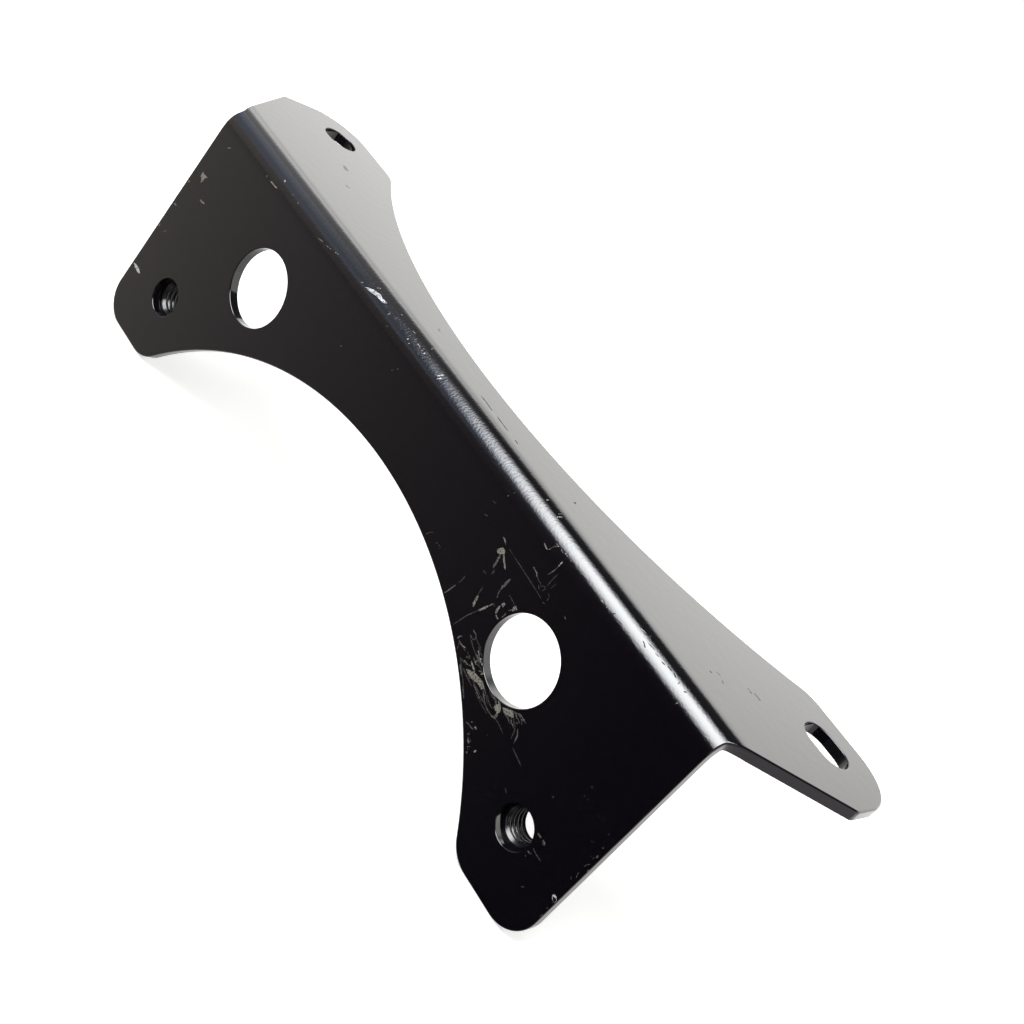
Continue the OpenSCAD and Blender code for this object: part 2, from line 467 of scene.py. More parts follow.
@dataclass
class FoldedBracket:
    """The bracket itself: one pierced blank with rounded, painted rims, folded once."""

    finish: Material
    blank: Blank = Blank()
    inner_rim_r: float = 0.25
    rim_steps: int = 5
    fold_strips: int = 32
    strip_step: float = 3.2
    strip_margin: float = 0.5
    merge_within: float = 1e-5

    def build(self) -> Object:
        """Builds the folded sheet and lets it stand for the CAD bracket."""
        shell = Shell()
        loops = [self.blank.outline(), *self.blank.holes()]
        radii = [self.blank.edge_rim_r] + [self.blank.hole_rim_r] * (len(loops) - 1)
        outer_rings = []
        inner_rings = []
        for loop, radius in zip(loops, radii):
            outer, inner = self.rim(shell, loop, radius)
            outer_rings.append(outer)
            inner_rings.append(inner)
        self.skin(shell, loops, radii, outer_rings, Skin.OUTER)
        self.skin(shell, loops, [self.inner_rim_r] * len(loops), inner_rings, Skin.INNER)
        piece = shell.mesh_object("folded_bracket", self.finish)
        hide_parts("bracket")
        return piece

    def rim(self, shell: Shell, loop: Sequence[Flat], outer_r: float) -> tuple[list[int], list[int]]:
        """Builds the wall of one loop with its two rounded rims.

        Args:
            shell: The mesh to add to.
            loop: The outline or a hole, on the unfolded outer face.
            outer_r: Radius of the rim at the outer face.

        Returns:
            The rings of vertices at which the outer and the inner face begin.
        """
        section = self.blank.section
        pairs = mitres(loop)
        # Each row holds an inset, a depth and the normal's share sideways and upwards
        profile: list[tuple[float, float, float, float]] = []
        for step in range(self.rim_steps + 1):
            lean = math.pi / 2 * step / self.rim_steps
            inset, depth = outer_r * (1 - math.sin(lean)), outer_r * (1 - math.cos(lean))
            profile.append((inset, depth, math.sin(lean), math.cos(lean)))
        for step in range(self.rim_steps, -1, -1):
            lean = math.pi / 2 * step / self.rim_steps
            radius = self.inner_rim_r
            depth = section.thickness - radius * (1 - math.cos(lean))
            profile.append((radius * (1 - math.sin(lean)), depth, math.sin(lean), -math.cos(lean)))
        rings: list[list[int]] = []
        for inset, depth, sideways, upwards in profile:
            ring = []
            for point, (normal, mitre) in zip(loop, pairs):
                x = point[0] - inset * mitre[0]
                run = point[1] - inset * mitre[1]
                out = Vector((normal[0], 0.0, 0.0)) + normal[1] * section.along(run)
                lean_to = sideways * out + upwards * section.normal(run)
                ring.append(shell.add(section.place(x, run, depth), lean_to))
            rings.append(ring)
        for first, second in zip(rings, rings[1:]):
            shell.band(first, second)
        return rings[0], rings[-1]

    def skin(
        self,
        shell: Shell,
        loops: Sequence[Sequence[Flat]],
        insets: Sequence[float],
        rings: Sequence[Sequence[int]],
        which: Skin,
    ) -> None:
        """Fills one face of the sheet between its rings of vertices.

        Args:
            shell: The mesh to add to.
            loops: The outline and the holes, on the unfolded outer face.
            insets: How far inside each of them the face begins.
            rings: The vertices already made there.
            which: The face to fill.
        """
        section = self.blank.section
        depth = 0.0 if which is Skin.OUTER else section.thickness
        flat: list[Vector] = []
        known: list[int] = []
        edges: list[tuple[int, int]] = []
        fences: list[list[Flat]] = []
        for loop, inset, ring in zip(loops, insets, rings):
            first = len(flat)
            fence = []
            for point, (_, mitre) in zip(loop, mitres(loop)):
                fence.append((point[0] - inset * mitre[0], point[1] - inset * mitre[1]))
            flat.extend(Vector(point) for point in fence)
            known.extend(ring)
            count = len(fence)
            edges.extend((first + index, first + (index + 1) % count) for index in range(count))
            fences.append(fence)
        self.fold_lines(flat, edges, fences[0])
        points, _, triangles, origins, _, _ = delaunay_2d_cdt(flat, edges, [], 0, self.merge_within)
        indices = []
        for point, origin in zip(points, origins):
            if origin and origin[0] < len(known):
                indices.append(known[origin[0]])
            else:
                normal = section.normal(point.y) * which.value
                indices.append(shell.add(section.place(point.x, point.y, depth), normal))
        for triangle in triangles:
            corners = [points[index] for index in triangle]
            middle = (sum(corner.x for corner in corners) / 3, sum(corner.y for corner in corners) / 3)
            if not holds(fences[0], middle) or any(holds(fence, middle) for fence in fences[1:]):
                continue
            face = [indices[index] for index in triangle]
            turn = (corners[1] - corners[0]).cross(corners[2] - corners[0])
            if (turn > 0) != (which is Skin.OUTER):
                face.reverse()
            shell.faces.append(tuple(face))

    def fold_lines(self, flat: list[Vector], edges: list[tuple[int, int]], fence: Sequence[Flat]) -> None:
        """Adds lines of points along the fold, so that the skin bends smoothly over it.

        Args:
            flat: Points of the skin so far, on the unfolded face.
            edges: Edges that the skin has to follow.
            fence: The outline that the lines stay inside.
        """
        section = self.blank.section
        for strip in range(self.fold_strips + 1):
            run = section.eased_run * strip / self.fold_strips - section.ease
            left, right = self.span(fence, run)
            left += self.strip_margin
            right -= self.strip_margin
            steps = math.ceil((right - left) / self.strip_step)
            first = len(flat)
            for step in range(steps + 1):
                flat.append(Vector((left + (right - left) * step / steps, run)))
            edges.extend((first + step, first + step + 1) for step in range(steps))

    @staticmethod
    def span(fence: Sequence[Flat], run: float) -> tuple[float, float]:
        """The left and the right end of the outline at this run."""
        cuts = []
        for index, point in enumerate(fence):
            before = fence[index - 1]
            if (point[1] > run) != (before[1] > run):
                cuts.append(between(before, point, (run - before[1]) / (point[1] - before[1]))[0])
        return min(cuts), max(cuts)


@dataclass
class WeldNut:
    """A square weld nut with its real thread, welded behind the front flange. Lengths in millimetres."""

    side: Side
    finish: Material
    blank: Blank = Blank()
    height: float = 6.5
    half_width: float = 7.0
    corner_power: float = 16.0
    crown_r: float = 6.7
    crown_deg: float = 30.0
    bore_r: float = 3.325
    thread_depth: float = 0.4
    pitch: float = 1.25
    mouth: float = 0.6
    bevel: float = 0.25
    shoulder_bevel: float = 0.1
    rays: int = 144
    steps_a_turn: int = 16

    def place(self, radius: float, ray: float, height: float) -> Vector:
        """Puts a point given round the screw's axis into the row frame."""
        x = self.side.value * self.blank.screw_hole_x + radius * math.sin(ray)
        z = self.blank.screw_hole_z + radius * math.cos(ray)
        return Vector((x, self.blank.section.thickness + height, z))

    def flat_radius(self, ray: float) -> float:
        """Distance from the axis to the nut's flats, with slightly rounded corners."""
        power = self.corner_power
        spread = abs(math.cos(ray)) ** power + abs(math.sin(ray)) ** power
        return self.half_width / spread ** (1 / power)

    def thread_radius(self, ray: float, height: float) -> float:
        """Radius of the threaded bore, with a chamfer at each mouth."""
        turn = height / self.pitch - ray / (2 * math.pi)
        ridge = self.bore_r + self.thread_depth * (0.5 - 0.5 * math.cos(2 * math.pi * turn))
        to_mouth = min(height, self.height - height)
        return max(ridge, self.bore_r + self.mouth - to_mouth)

    def build(self) -> Object:
        """Builds the nut and lets it stand for its CAD node."""
        shell = Shell()
        turns = self.height / self.pitch
        steps = math.ceil(turns * self.steps_a_turn)
        slope = math.tan(math.radians(self.crown_deg))
        columns: list[list[Vector]] = []
        for index in range(self.rays):
            ray = 2 * math.pi * index / self.rays
            flat = self.flat_radius(ray)
            shoulder = self.height - (flat - self.crown_r) * slope
            column = [
                self.place(self.bore_r + self.mouth, ray, 0.0),
                self.place(flat - self.bevel, ray, 0.0),
                self.place(flat, ray, self.bevel),
                self.place(flat, ray, shoulder - self.shoulder_bevel),
                self.place(flat - self.shoulder_bevel, ray, shoulder + self.shoulder_bevel / 2),
                self.place(self.crown_r, ray, self.height),
            ]
            for step in range(steps, 0, -1):
                height = self.height * step / steps
                column.append(self.place(self.thread_radius(ray, height), ray, height))
            columns.append(column)
        lines = [[shell.add(point) for point in column] for column in columns]
        for index, line in enumerate(lines):
            ahead = lines[(index + 1) % self.rays]
            count = len(line)
            for step in range(count):
                after = (step + 1) % count
                shell.faces.append((line[step], ahead[step], ahead[after], line[after]))
        name = "weld_nut_" + self.side.name.lower()
        piece = shell.mesh_object("threaded_" + name, self.finish, own_normals=False)
        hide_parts(name)
        return piece


# Wear


class Tone(Enum):
    """How light a worn spot is, by what has rubbed off."""

    DARK = "dulled"
    SMUDGED = "smudged"
    BARE = "bare"
    PALE = "pale"
    MIDDLING = "middling"
    FAINT = "faint"


# Corners of a speck, and how unevenly its reach swings around it
SPECK_CORNERS = 9
SPECK_LEAST = 0.8
SPECK_SWING = 0.35
SPECK_WAVE = 2.3


@dataclass(frozen=True)
class Mark:
    """One worn spot on the unfolded outer face: a stroke where it has a width, otherwise a patch."""

    points: tuple[Flat, ...]
    width: float = 0.0


def stroke(width: float, *points: Flat) -> Mark:
    """A scratch of this width along these points."""
    return Mark(points, width)


def patch(*points: Flat) -> Mark:
    """A rubbed spot with this outline."""
    return Mark(points)


def speck(radius: float, centre: Flat) -> Mark:
    """A small round chip."""
    ring = []
    for step in range(SPECK_CORNERS):
        angle = 2 * math.pi * step / SPECK_CORNERS
        reach = radius * (SPECK_LEAST + SPECK_SWING * math.sin(SPECK_WAVE * angle + centre[0]))
        ring.append((centre[0] + reach * math.cos(angle), centre[1] + reach * math.sin(angle)))
    return Mark(tuple(ring))


# Places along the fold and runs over the outer face
MARKS: dict[Tone, tuple[Mark, ...]] = {
    Tone.DARK: (
        stroke(0.26, (67.99, 5.75), (69.17, 6.29)),
        stroke(0.21, (68.59, 6.02), (68.95, 6.72)),
        stroke(0.26, (69.05, 4.55), (69.86, 4.31), (70.41, 4.04)),
        stroke(0.20, (69.84, 5.1), (70.62, 5.21), (71.65, 5.37)),
        stroke(0.26, (74.17, 5), (75.07, 5.13)),
        stroke(0.26, (75.36, 5.48), (76.17, 5.45), (76.76, 5.47)),
        stroke(0.29, (77.05, 5.59), (78.19, 5.31)),
        stroke(0.18, (79.32, 4.82), (79.2, 5.47)),
        stroke(0.28, (81.07, 4.86), (81.54, 5.3)),
        stroke(0.17, (72.17, 5), (73.19, 5.15)),
        stroke(0.22, (61.37, 3.03), (61.8, 3.62)),
        stroke(0.21, (62.75, 3.08), (64.24, 3.28)),
        stroke(0.58, (4.27, 11.07), (6.04, 11.22), (8.61, 10.99)),
        stroke(0.57, (10.35, 11.14), (12.71, 11.07), (14.61, 11.06)),
        stroke(0.7, (17.21, 11.08), (18.37, 11.04)),
        speck(0.39, (34.35, 15.5)),
        stroke(0.7, (77.6, 16.93), (78.09, 17.28)),
    ),
    Tone.SMUDGED: (
        stroke(0.6, (77.74, 19.4), (78.96, 19.62)),
        stroke(0.55, (79.79, 18.97), (80.74, 18.18)),
        stroke(0.75, (81.86, 26.31), (83.32, 26.22)),
        stroke(1.0, (83.1, 27.3), (83.95, 27.39), (85.04, 27.37)),
        speck(1.10, (-80.5, 30.46)),
        speck(0.6, (-70.51, 24.29)),
        speck(0.52, (-17.16, 14.86)),
    ),
    Tone.BARE: (
        patch((47.93, -24.65), (48.27, -24.4), (48.94, -24.51), (49.41, -25.14), (48.79, -25.11)),
        patch(
            (91.42, -40.47), (91.75, -39.87), (92.37, -39.91), (92.75, -40.45), (92.76, -41.05),
            (92.07, -40.95),
        ),
        patch(
            (-92.36, -41.31), (-91.27, -41.03), (-89.46, -41.09), (-88.32, -41.55), (-89.46, -42.03),
            (-90.98, -41.73),
        ),
        patch(
            (-31.12, 3.07), (-30.23, 3.8), (-28.82, 4.45), (-27.67, 4.77), (-26.12, 4.62),
            (-24.74, 4.79), (-24.93, 4.18), (-26.57, 3.91), (-27.98, 3.74), (-29.67, 3.24),
        ),
        speck(0.22, (-14.02, 3.67)),
        speck(0.24, (-8.95, 4.56)),
        stroke(0.33, (-2.57, 3.83), (-2.08, 5.18)),
        stroke(0.26, (-2, 3.37), (-1.58, 4.41)),
    ),
    Tone.PALE: (
        stroke(0.35, (34.24, -5.28), (34.85, -5.33), (35.77, -5.76)),
        patch(
            (35.24, -7.42), (35.78, -6.63), (36.57, -6.59), (36.95, -7.02), (36.35, -7.92),
            (35.64, -8.25), (35.09, -7.99),
        ),
        stroke(0.50, (36.65, -7.2), (37.87, -8.14), (39.29, -9)),
        stroke(0.76, (38.65, -17.15), (38.88, -18.32), (39.36, -19.38)),
        stroke(0.49, (41.74, -16.62), (41.2, -18.07), (40.76, -18.98)),
        patch((45.91, -12.35), (46.31, -11.76), (47.05, -11.94), (46.35, -13.04)),
        patch((43.63, -14.13), (43.76, -13.29), (44.31, -13.39), (44.39, -14.16)),
        stroke(0.64, (43.69, -14.5), (43.76, -15.41), (44.09, -16.18)),
        stroke(0.42, (44.02, -16.12), (44.63, -16.43), (45.28, -16.52)),
        stroke(0.26, (41.67, 0.83), (42.65, 0.61), (43.27, 0.58)),
        stroke(0.32, (47.1, 1.53), (47.29, 0.34)),
        stroke(0.27, (43.48, -3.85), (44.37, -4.01), (44.96, -4.07), (45.29, -4.67)),
        stroke(0.29, (41.47, -26.29), (41.42, -25.75), (41.85, -25.14)),
        stroke(0.27, (41.94, -26.2), (42.85, -26.34), (44.32, -25.98)),
        stroke(0.39, (46.49, -23.97), (47.37, -24.42), (47.88, -24.7)),
        stroke(0.27, (45.67, -27.81), (46.89, -27.73)),
        stroke(0.36, (47.61, -25.6), (48.22, -26.35)),
        stroke(0.57, (46.95, -26.64), (48.14, -27.03), (49.18, -27.29)),
        patch(
            (47.3, -28.57), (48.09, -27.96), (49.02, -27.47), (50.54, -27.18), (51.89, -27.08),
            (53.05, -27.77), (52.65, -28.38), (51.39, -28.24), (50.32, -28.6), (49.48, -28.84),
            (48.35, -28.83),
        ),
        stroke(0.48, (50.04, -25.14), (50.91, -25.58)),
        stroke(0.31, (50.42, -26.59), (50.91, -25.58)),
        stroke(0.55, (56.94, -26.71), (57.95, -26.97), (58.5, -28.08)),
        patch(
            (58.4, -26.73), (59.59, -25.9), (60.34, -25.3), (61.2, -25.44), (61.61, -26.11),
            (60.73, -26.58), (59.84, -27.06),
        ),
        speck(0.33, (57.31, -34.21)),
        speck(0.31, (60.6, -37.23)),
        stroke(0.24, (92.76, -31.55), (93.07, -30.82)),
        patch(
            (-89.78, -11.85), (-88.68, -11.89), (-87.31, -11.71), (-88.03, -12.42), (-88.21, -13.59),
            (-88.53, -13.99), (-89.08, -13.09), (-89.64, -13.07),
        ),
        stroke(0.47, (-85.44, -16.75), (-83.54, -16.44)),
        stroke(0.41, (-92.06, -22.89), (-90.9, -22.72)),
        stroke(0.41, (-91.86, -29.88), (-92.24, -29.11)),
        speck(0.27, (-91.98, -16.23)),
        stroke(0.35, (-70.59, 0.43), (-68.9, 0.61), (-67.55, 0.68)),
        speck(0.35, (-67.7, 3.12)),
        speck(0.18, (-63.05, 2.66)),
        speck(0.18, (-60.36, 2.48)),
        speck(0.17, (-43.06, 2.58)),
        stroke(0.22, (-32.86, 2.95), (-32.22, 3.33)),
        stroke(0.29, (-29.48, 5.06), (-29.03, 5.78)),
        speck(0.24, (-20.42, 5.93)),
        stroke(0.26, (-15.59, 5.65), (-14.6, 5.8)),
        speck(0.15, (-12.92, 3.27)),
        stroke(0.21, (-11.95, 4.73), (-10.88, 4.7)),
        speck(0.18, (-10.37, -1.93)),
        stroke(0.31, (34.06, 6.43), (34.21, 7.09)),
        stroke(0.34, (38.49, 6.03), (38.81, 7.32)),
        stroke(0.23, (66.68, 5.79), (67.88, 6.07)),
        patch(
            (56.99, -27.92), (57.42, -26.92), (58.2, -26.87), (58.87, -27.78), (58.58, -28.47),
            (57.8, -28.42),
        ),
        stroke(0.19, (46.03, 2.86), (47.06, 2.85)),
        stroke(0.19, (57.96, 2.92), (58.78, 3.03)),
        speck(0.15, (59.77, 3.02)),
    ),
    Tone.MIDDLING: (
        stroke(0.68, (36.35, -7.92), (36.65, -9.14), (37.07, -10.94)),
        stroke(0.66, (41.51, -9.27), (41.43, -10.62), (41.41, -12.18)),
        stroke(0.31, (42.33, -15.22), (41.77, -16.65)),
        stroke(0.35, (33.27, -19.82), (32.92, -21.35), (32.49, -22.97)),
        stroke(0.19, (45.61, -13.66), (46.18, -12.89)),
        stroke(0.34, (45.65, -14.32), (45.69, -14.98), (45.5, -15.76)),
        stroke(0.23, (47.29, 0.47), (47.2, -0.86), (46.83, -2.35)),
        stroke(0.22, (55.14, -4.71), (55.77, -4.97)),
        stroke(0.36, (42.78, -22.36), (43.76, -22.41), (44.43, -22.82)),
        stroke(0.31, (43.01, -23.54), (43.7, -23.49)),
        speck(0.26, (46.07, -26.62)),
        stroke(0.29, (47.76, -28.64), (49.4, -29.09)),
        stroke(0.34, (53.04, -28.08), (54.2, -28.77), (55.13, -29.43)),
        stroke(0.44, (58.5, -28.08), (58.6, -29.12), (58.28, -29.95)),
        stroke(0.28, (60.58, -26.76), (61.5, -27.41)),
        stroke(0.28, (61.17, -26.35), (62.16, -27.21)),
        stroke(0.34, (60.71, -25.16), (61.64, -25.2), (62.35, -25.52)),
        stroke(0.33, (61.81, -24.42), (62.82, -24.38), (63.96, -24.46)),
        stroke(0.34, (63.83, -26.66), (64.73, -27.6), (65.26, -29.15)),
        stroke(0.29, (54.97, -35.24), (55.87, -35.05), (57.21, -34.93)),
        speck(0.20, (57.08, -36.43)),
        speck(0.40, (58.06, -37.19)),
        stroke(0.19, (58.57, -38.21), (59.12, -37.55)),
        speck(0.18, (55.91, -34.12)),
        speck(0.20, (29.05, 0.71)),
        stroke(0.60, (81.14, -35.75), (82.16, -35.6)),
        speck(0.44, (83.24, -35.73)),
        speck(0.17, (83.97, -38.6)),
        speck(0.26, (82.47, -39.64)),
        speck(0.33, (92.22, -28.06)),
        stroke(0.26, (-87.64, -3.22), (-86.56, -2.4)),
        stroke(0.27, (-89.79, -29.74), (-88.86, -28.68)),
        stroke(0.31, (-72.19, 0.17), (-72.45, 0.71)),
        stroke(0.22, (-49.25, 1.36), (-47.51, 1.71)),
        stroke(0.19, (-46.34, 1.84), (-44.53, 2.11)),
        speck(0.24, (-42.41, 2.73)),
        stroke(0.33, (-21.95, 3.21), (-22.02, 3.97)),
        stroke(0.19, (-20.05, 1.64), (-19.44, 1.93)),
        speck(0.25, (-9.54, 6.81)),
        speck(0.18, (-11.36, -3.1)),
        speck(0.19, (-25.88, -9.37)),
        stroke(0.18, (82.14, 2.26), (82.35, 2.98)),
        speck(0.35, (46.17, -26.51)),
        speck(0.22, (45.62, -26.89)),
        stroke(0.28, (46.7, -25.67), (47.64, -26.05), (48.44, -26.1)),
        patch((46.89, -24.86), (47.6, -24.4), (48.18, -24.7), (48.68, -25.34), (48.09, -25.53)),
        stroke(0.30, (49.55, -26.53), (50.24, -26.07), (51.14, -26)),
        stroke(0.31, (50.67, -29.13), (51.91, -29.4), (53.31, -29.71), (54.55, -29.82)),
        stroke(0.35, (54.71, -27.19), (55.6, -27.12), (56.38, -27.17), (57.2, -27.57), (57.7, -28.44)),
        stroke(0.33, (55.83, -29.77), (57.28, -29.81), (58.79, -29.49), (58.82, -28.47)),
        stroke(0.30, (58.95, -27.05), (59.87, -27.08), (61.03, -27.15), (61.81, -27.43)),
        stroke(0.28, (60.82, -25.94), (61.88, -26.86), (63.07, -27.18)),
        stroke(0.24, (60.96, -25.33), (61.71, -24.74), (62.66, -24.76), (63.52, -24.89)),
        stroke(0.21, (63.02, -24.76), (63.6, -24.55), (64.25, -24.5)),
        stroke(0.34, (45.58, -29.14), (46.86, -29.87), (47.72, -30.35)),
        stroke(0.32, (49.04, -31.28), (49.87, -31.78), (51.16, -32.74)),
        stroke(0.21, (52, -27.33), (53.3, -27.77), (54.44, -28.39)),
        stroke(0.19, (43.27, 2.64), (44.31, 2.64)),
        speck(0.17, (48.08, 2.85)),
    ),
    Tone.FAINT: (
        stroke(0.45, (37.68, -10.99), (37.69, -11.96)),
        stroke(0.27, (35.7, -12.95), (36.78, -12.93)),
        stroke(0.40, (41.41, -12.18), (41.64, -13.34), (42.05, -14.02)),
        stroke(0.28, (38.17, -15.11), (38.32, -16.37), (38.57, -17.24)),
        stroke(0.27, (40.76, -18.98), (40.14, -20.39), (39.58, -21.86), (39.17, -23.47), (38.67, -25.34)),
        stroke(0.27, (42.95, -15.44), (42.2, -15.42)),
        stroke(0.27, (33.55, -16.94), (33.61, -18.31), (33.32, -19.04)),
        stroke(0.27, (43.56, -11.54), (44.75, -11.65), (46.16, -11.94)),
        stroke(0.20, (37.04, -5.67), (38.85, -5.85), (41.11, -5.95), (44.91, -6.18), (49.1, -6.49)),
        stroke(0.26, (43.24, 0.55), (43.45, 1.06), (43.63, 1.93), (44.35, 2.84)),
        stroke(0.22, (45.03, -4.13), (46.08, -4.65), (46.92, -4.72), (47.49, -5.07)),
        stroke(0.23, (47.49, -5.07), (47.82, -4.44), (48.39, -4.64), (48.21, -5.39)),
        stroke(0.21, (46.82, -5.24), (47.6, -5.78)),
        stroke(0.23, (49.42, -4.63), (50.13, -4.96), (50.38, -5.79)),
        stroke(0.20, (48.17, -3.23), (48.28, -3.94)),
        stroke(0.17, (49.4, -2.19), (49.17, -3.81)),
        stroke(0.19, (48.3, -0.64), (48.23, -2.07), (48.3, -3.65)),
        stroke(0.18, (49.75, -6.75), (50.5, -6.5)),
        stroke(0.25, (42.17, -26.23), (42.65, -27.15), (43.07, -27.84)),
        stroke(0.26, (43.45, -23.92), (44.65, -24.31), (46.29, -24.77), (47.93, -25.23), (48.75, -25.46)),
        stroke(0.28, (44.43, -22.82), (45.92, -23.16), (46.68, -23.17)),
        speck(0.18, (45.08, -26.15)),
        stroke(0.32, (44.73, -28.3), (45.77, -28.87), (47.43, -29.89)),
        stroke(0.32, (47.43, -29.89), (49, -31.02), (49.76, -31.62)),
        stroke(0.25, (50.19, -32), (51.08, -32.73)),
        stroke(0.43, (46.67, -29), (48.18, -29.33), (49.53, -29.53)),
        stroke(
            0.26, (49.94, -28.76), (51.5, -28.99), (53.28, -29.25), (55.06, -29.52), (56.68, -29.65),
            (57.85, -29.73),
        ),
        stroke(0.22, (54.24, -27.84), (55.02, -28.68), (55.82, -28.91)),
        stroke(0.28, (54.05, -26.89), (55.58, -27.43)),
        stroke(0.47, (55.75, -26.94), (56.49, -26.95), (57.26, -27.79), (57.16, -28.49)),
        stroke(0.23, (57.16, -28.49), (56.41, -28.79)),
        stroke(0.23, (58.95, -29.58), (59.62, -29.37), (60.92, -29.57), (62.36, -29.89)),
        stroke(0.30, (61.69, -26.02), (62.89, -26.91)),
        speck(0.32, (62.91, -26.01)),
        stroke(0.28, (63.23, -25.05), (63.94, -25.36)),
        stroke(0.27, (62.76, -26.49), (63.52, -27.32), (64.19, -28.99)),
        stroke(0.25, (65.75, -29.89), (66.81, -30.05), (69.5, -30.55)),
        speck(0.24, (59.4, -38.86)),
        speck(0.15, (60.08, -32.95)),
        stroke(0.24, (20.48, -18.66), (20.9, -17.66), (21.59, -17.24)),
        speck(0.22, (23.75, -17.85)),
        stroke(0.23, (24.2, -17.81), (25.09, -17.74)),
        speck(0.18, (24.98, -18.14)),
        stroke(0.21, (27, -2.47), (28.19, -2.22)),
        speck(0.21, (29.5, 2.08)),
        stroke(0.28, (27.68, -5.64), (28.66, -5.2)),
        stroke(0.37, (70.24, -36.16), (71.16, -36.49)),
        speck(0.19, (78.3, -28.6)),
        speck(0.18, (82.28, -20.67)),
        stroke(0.27, (82.5, -38.3), (83.73, -38.48), (85.5, -38.53)),
        speck(0.17, (82.93, -39.39)),
        speck(0.17, (82.56, -40.64)),
        speck(0.28, (86.42, -44.88)),
        speck(0.21, (92.51, -42.92)),
        stroke(0.27, (92.73, -44.45), (92.74, -45.36)),
        stroke(0.22, (91.44, -34.88), (91.9, -35.29)),
        stroke(0.25, (91.88, -33.09), (92.29, -34.17)),
        stroke(0.18, (91.8, -31.42), (92.02, -30.47), (92.37, -30.2)),
        stroke(0.20, (92.03, -29.04), (91.9, -28.63)),
        speck(0.18, (91.81, -25.97)),
        stroke(0.26, (37.89, 6.7), (38.04, 7.65)),
        stroke(0.27, (43.82, -22.25), (44.28, -22.7), (44.34, -23.4), (43.77, -23.66)),
        stroke(0.26, (44.01, -23.87), (45.32, -24.57), (46.66, -24.98), (47.73, -25.22)),
        stroke(0.28, (46.06, -23.49), (47.1, -23.86), (48.44, -24.07)),
        speck(0.29, (45.3, -26.18)),
        stroke(0.29, (44.66, -28.23), (45.55, -28.19), (46.32, -28.04)),
        stroke(0.31, (46.49, -28.09), (47.28, -27.52), (48.15, -26.82)),
        stroke(0.40, (48.14, -25.95), (49.21, -25.81), (49.95, -25.82)),
        stroke(0.29, (53.44, -28.59), (54.34, -29), (55.65, -29.4)),
        stroke(0.31, (54.53, -27.89), (55.3, -28.35), (56.27, -28.67), (57.1, -28.76)),
        stroke(0.29, (61.82, -25.57), (62.5, -25.34), (63.31, -25.63)),
        stroke(0.22, (42.31, -26.74), (42.97, -26.49), (43.87, -26.45), (44.79, -26.38)),
        stroke(0.23, (46.57, -23.4), (47.16, -23.49)),
        stroke(0.26, (46.33, -21.26), (46.82, -21.91)),
        speck(0.22, (57.14, -36.11)),
        speck(0.27, (57.69, -36.85)),
        speck(0.22, (58.35, -36.78)),
        stroke(0.28, (58.8, -38.24), (59.36, -38.3)),
        stroke(0.22, (55.15, -35.18), (56.15, -34.97), (57.15, -34.76)),
        stroke(0.19, (47.77, -29.31), (49.27, -29.53), (50.65, -29.64)),
        stroke(0.19, (52.02, -29.76), (53.62, -30.08), (55.35, -30.25), (56.99, -30.36)),
        stroke(0.19, (44.89, 2.71), (45.8, 2.56)),
    ),
}


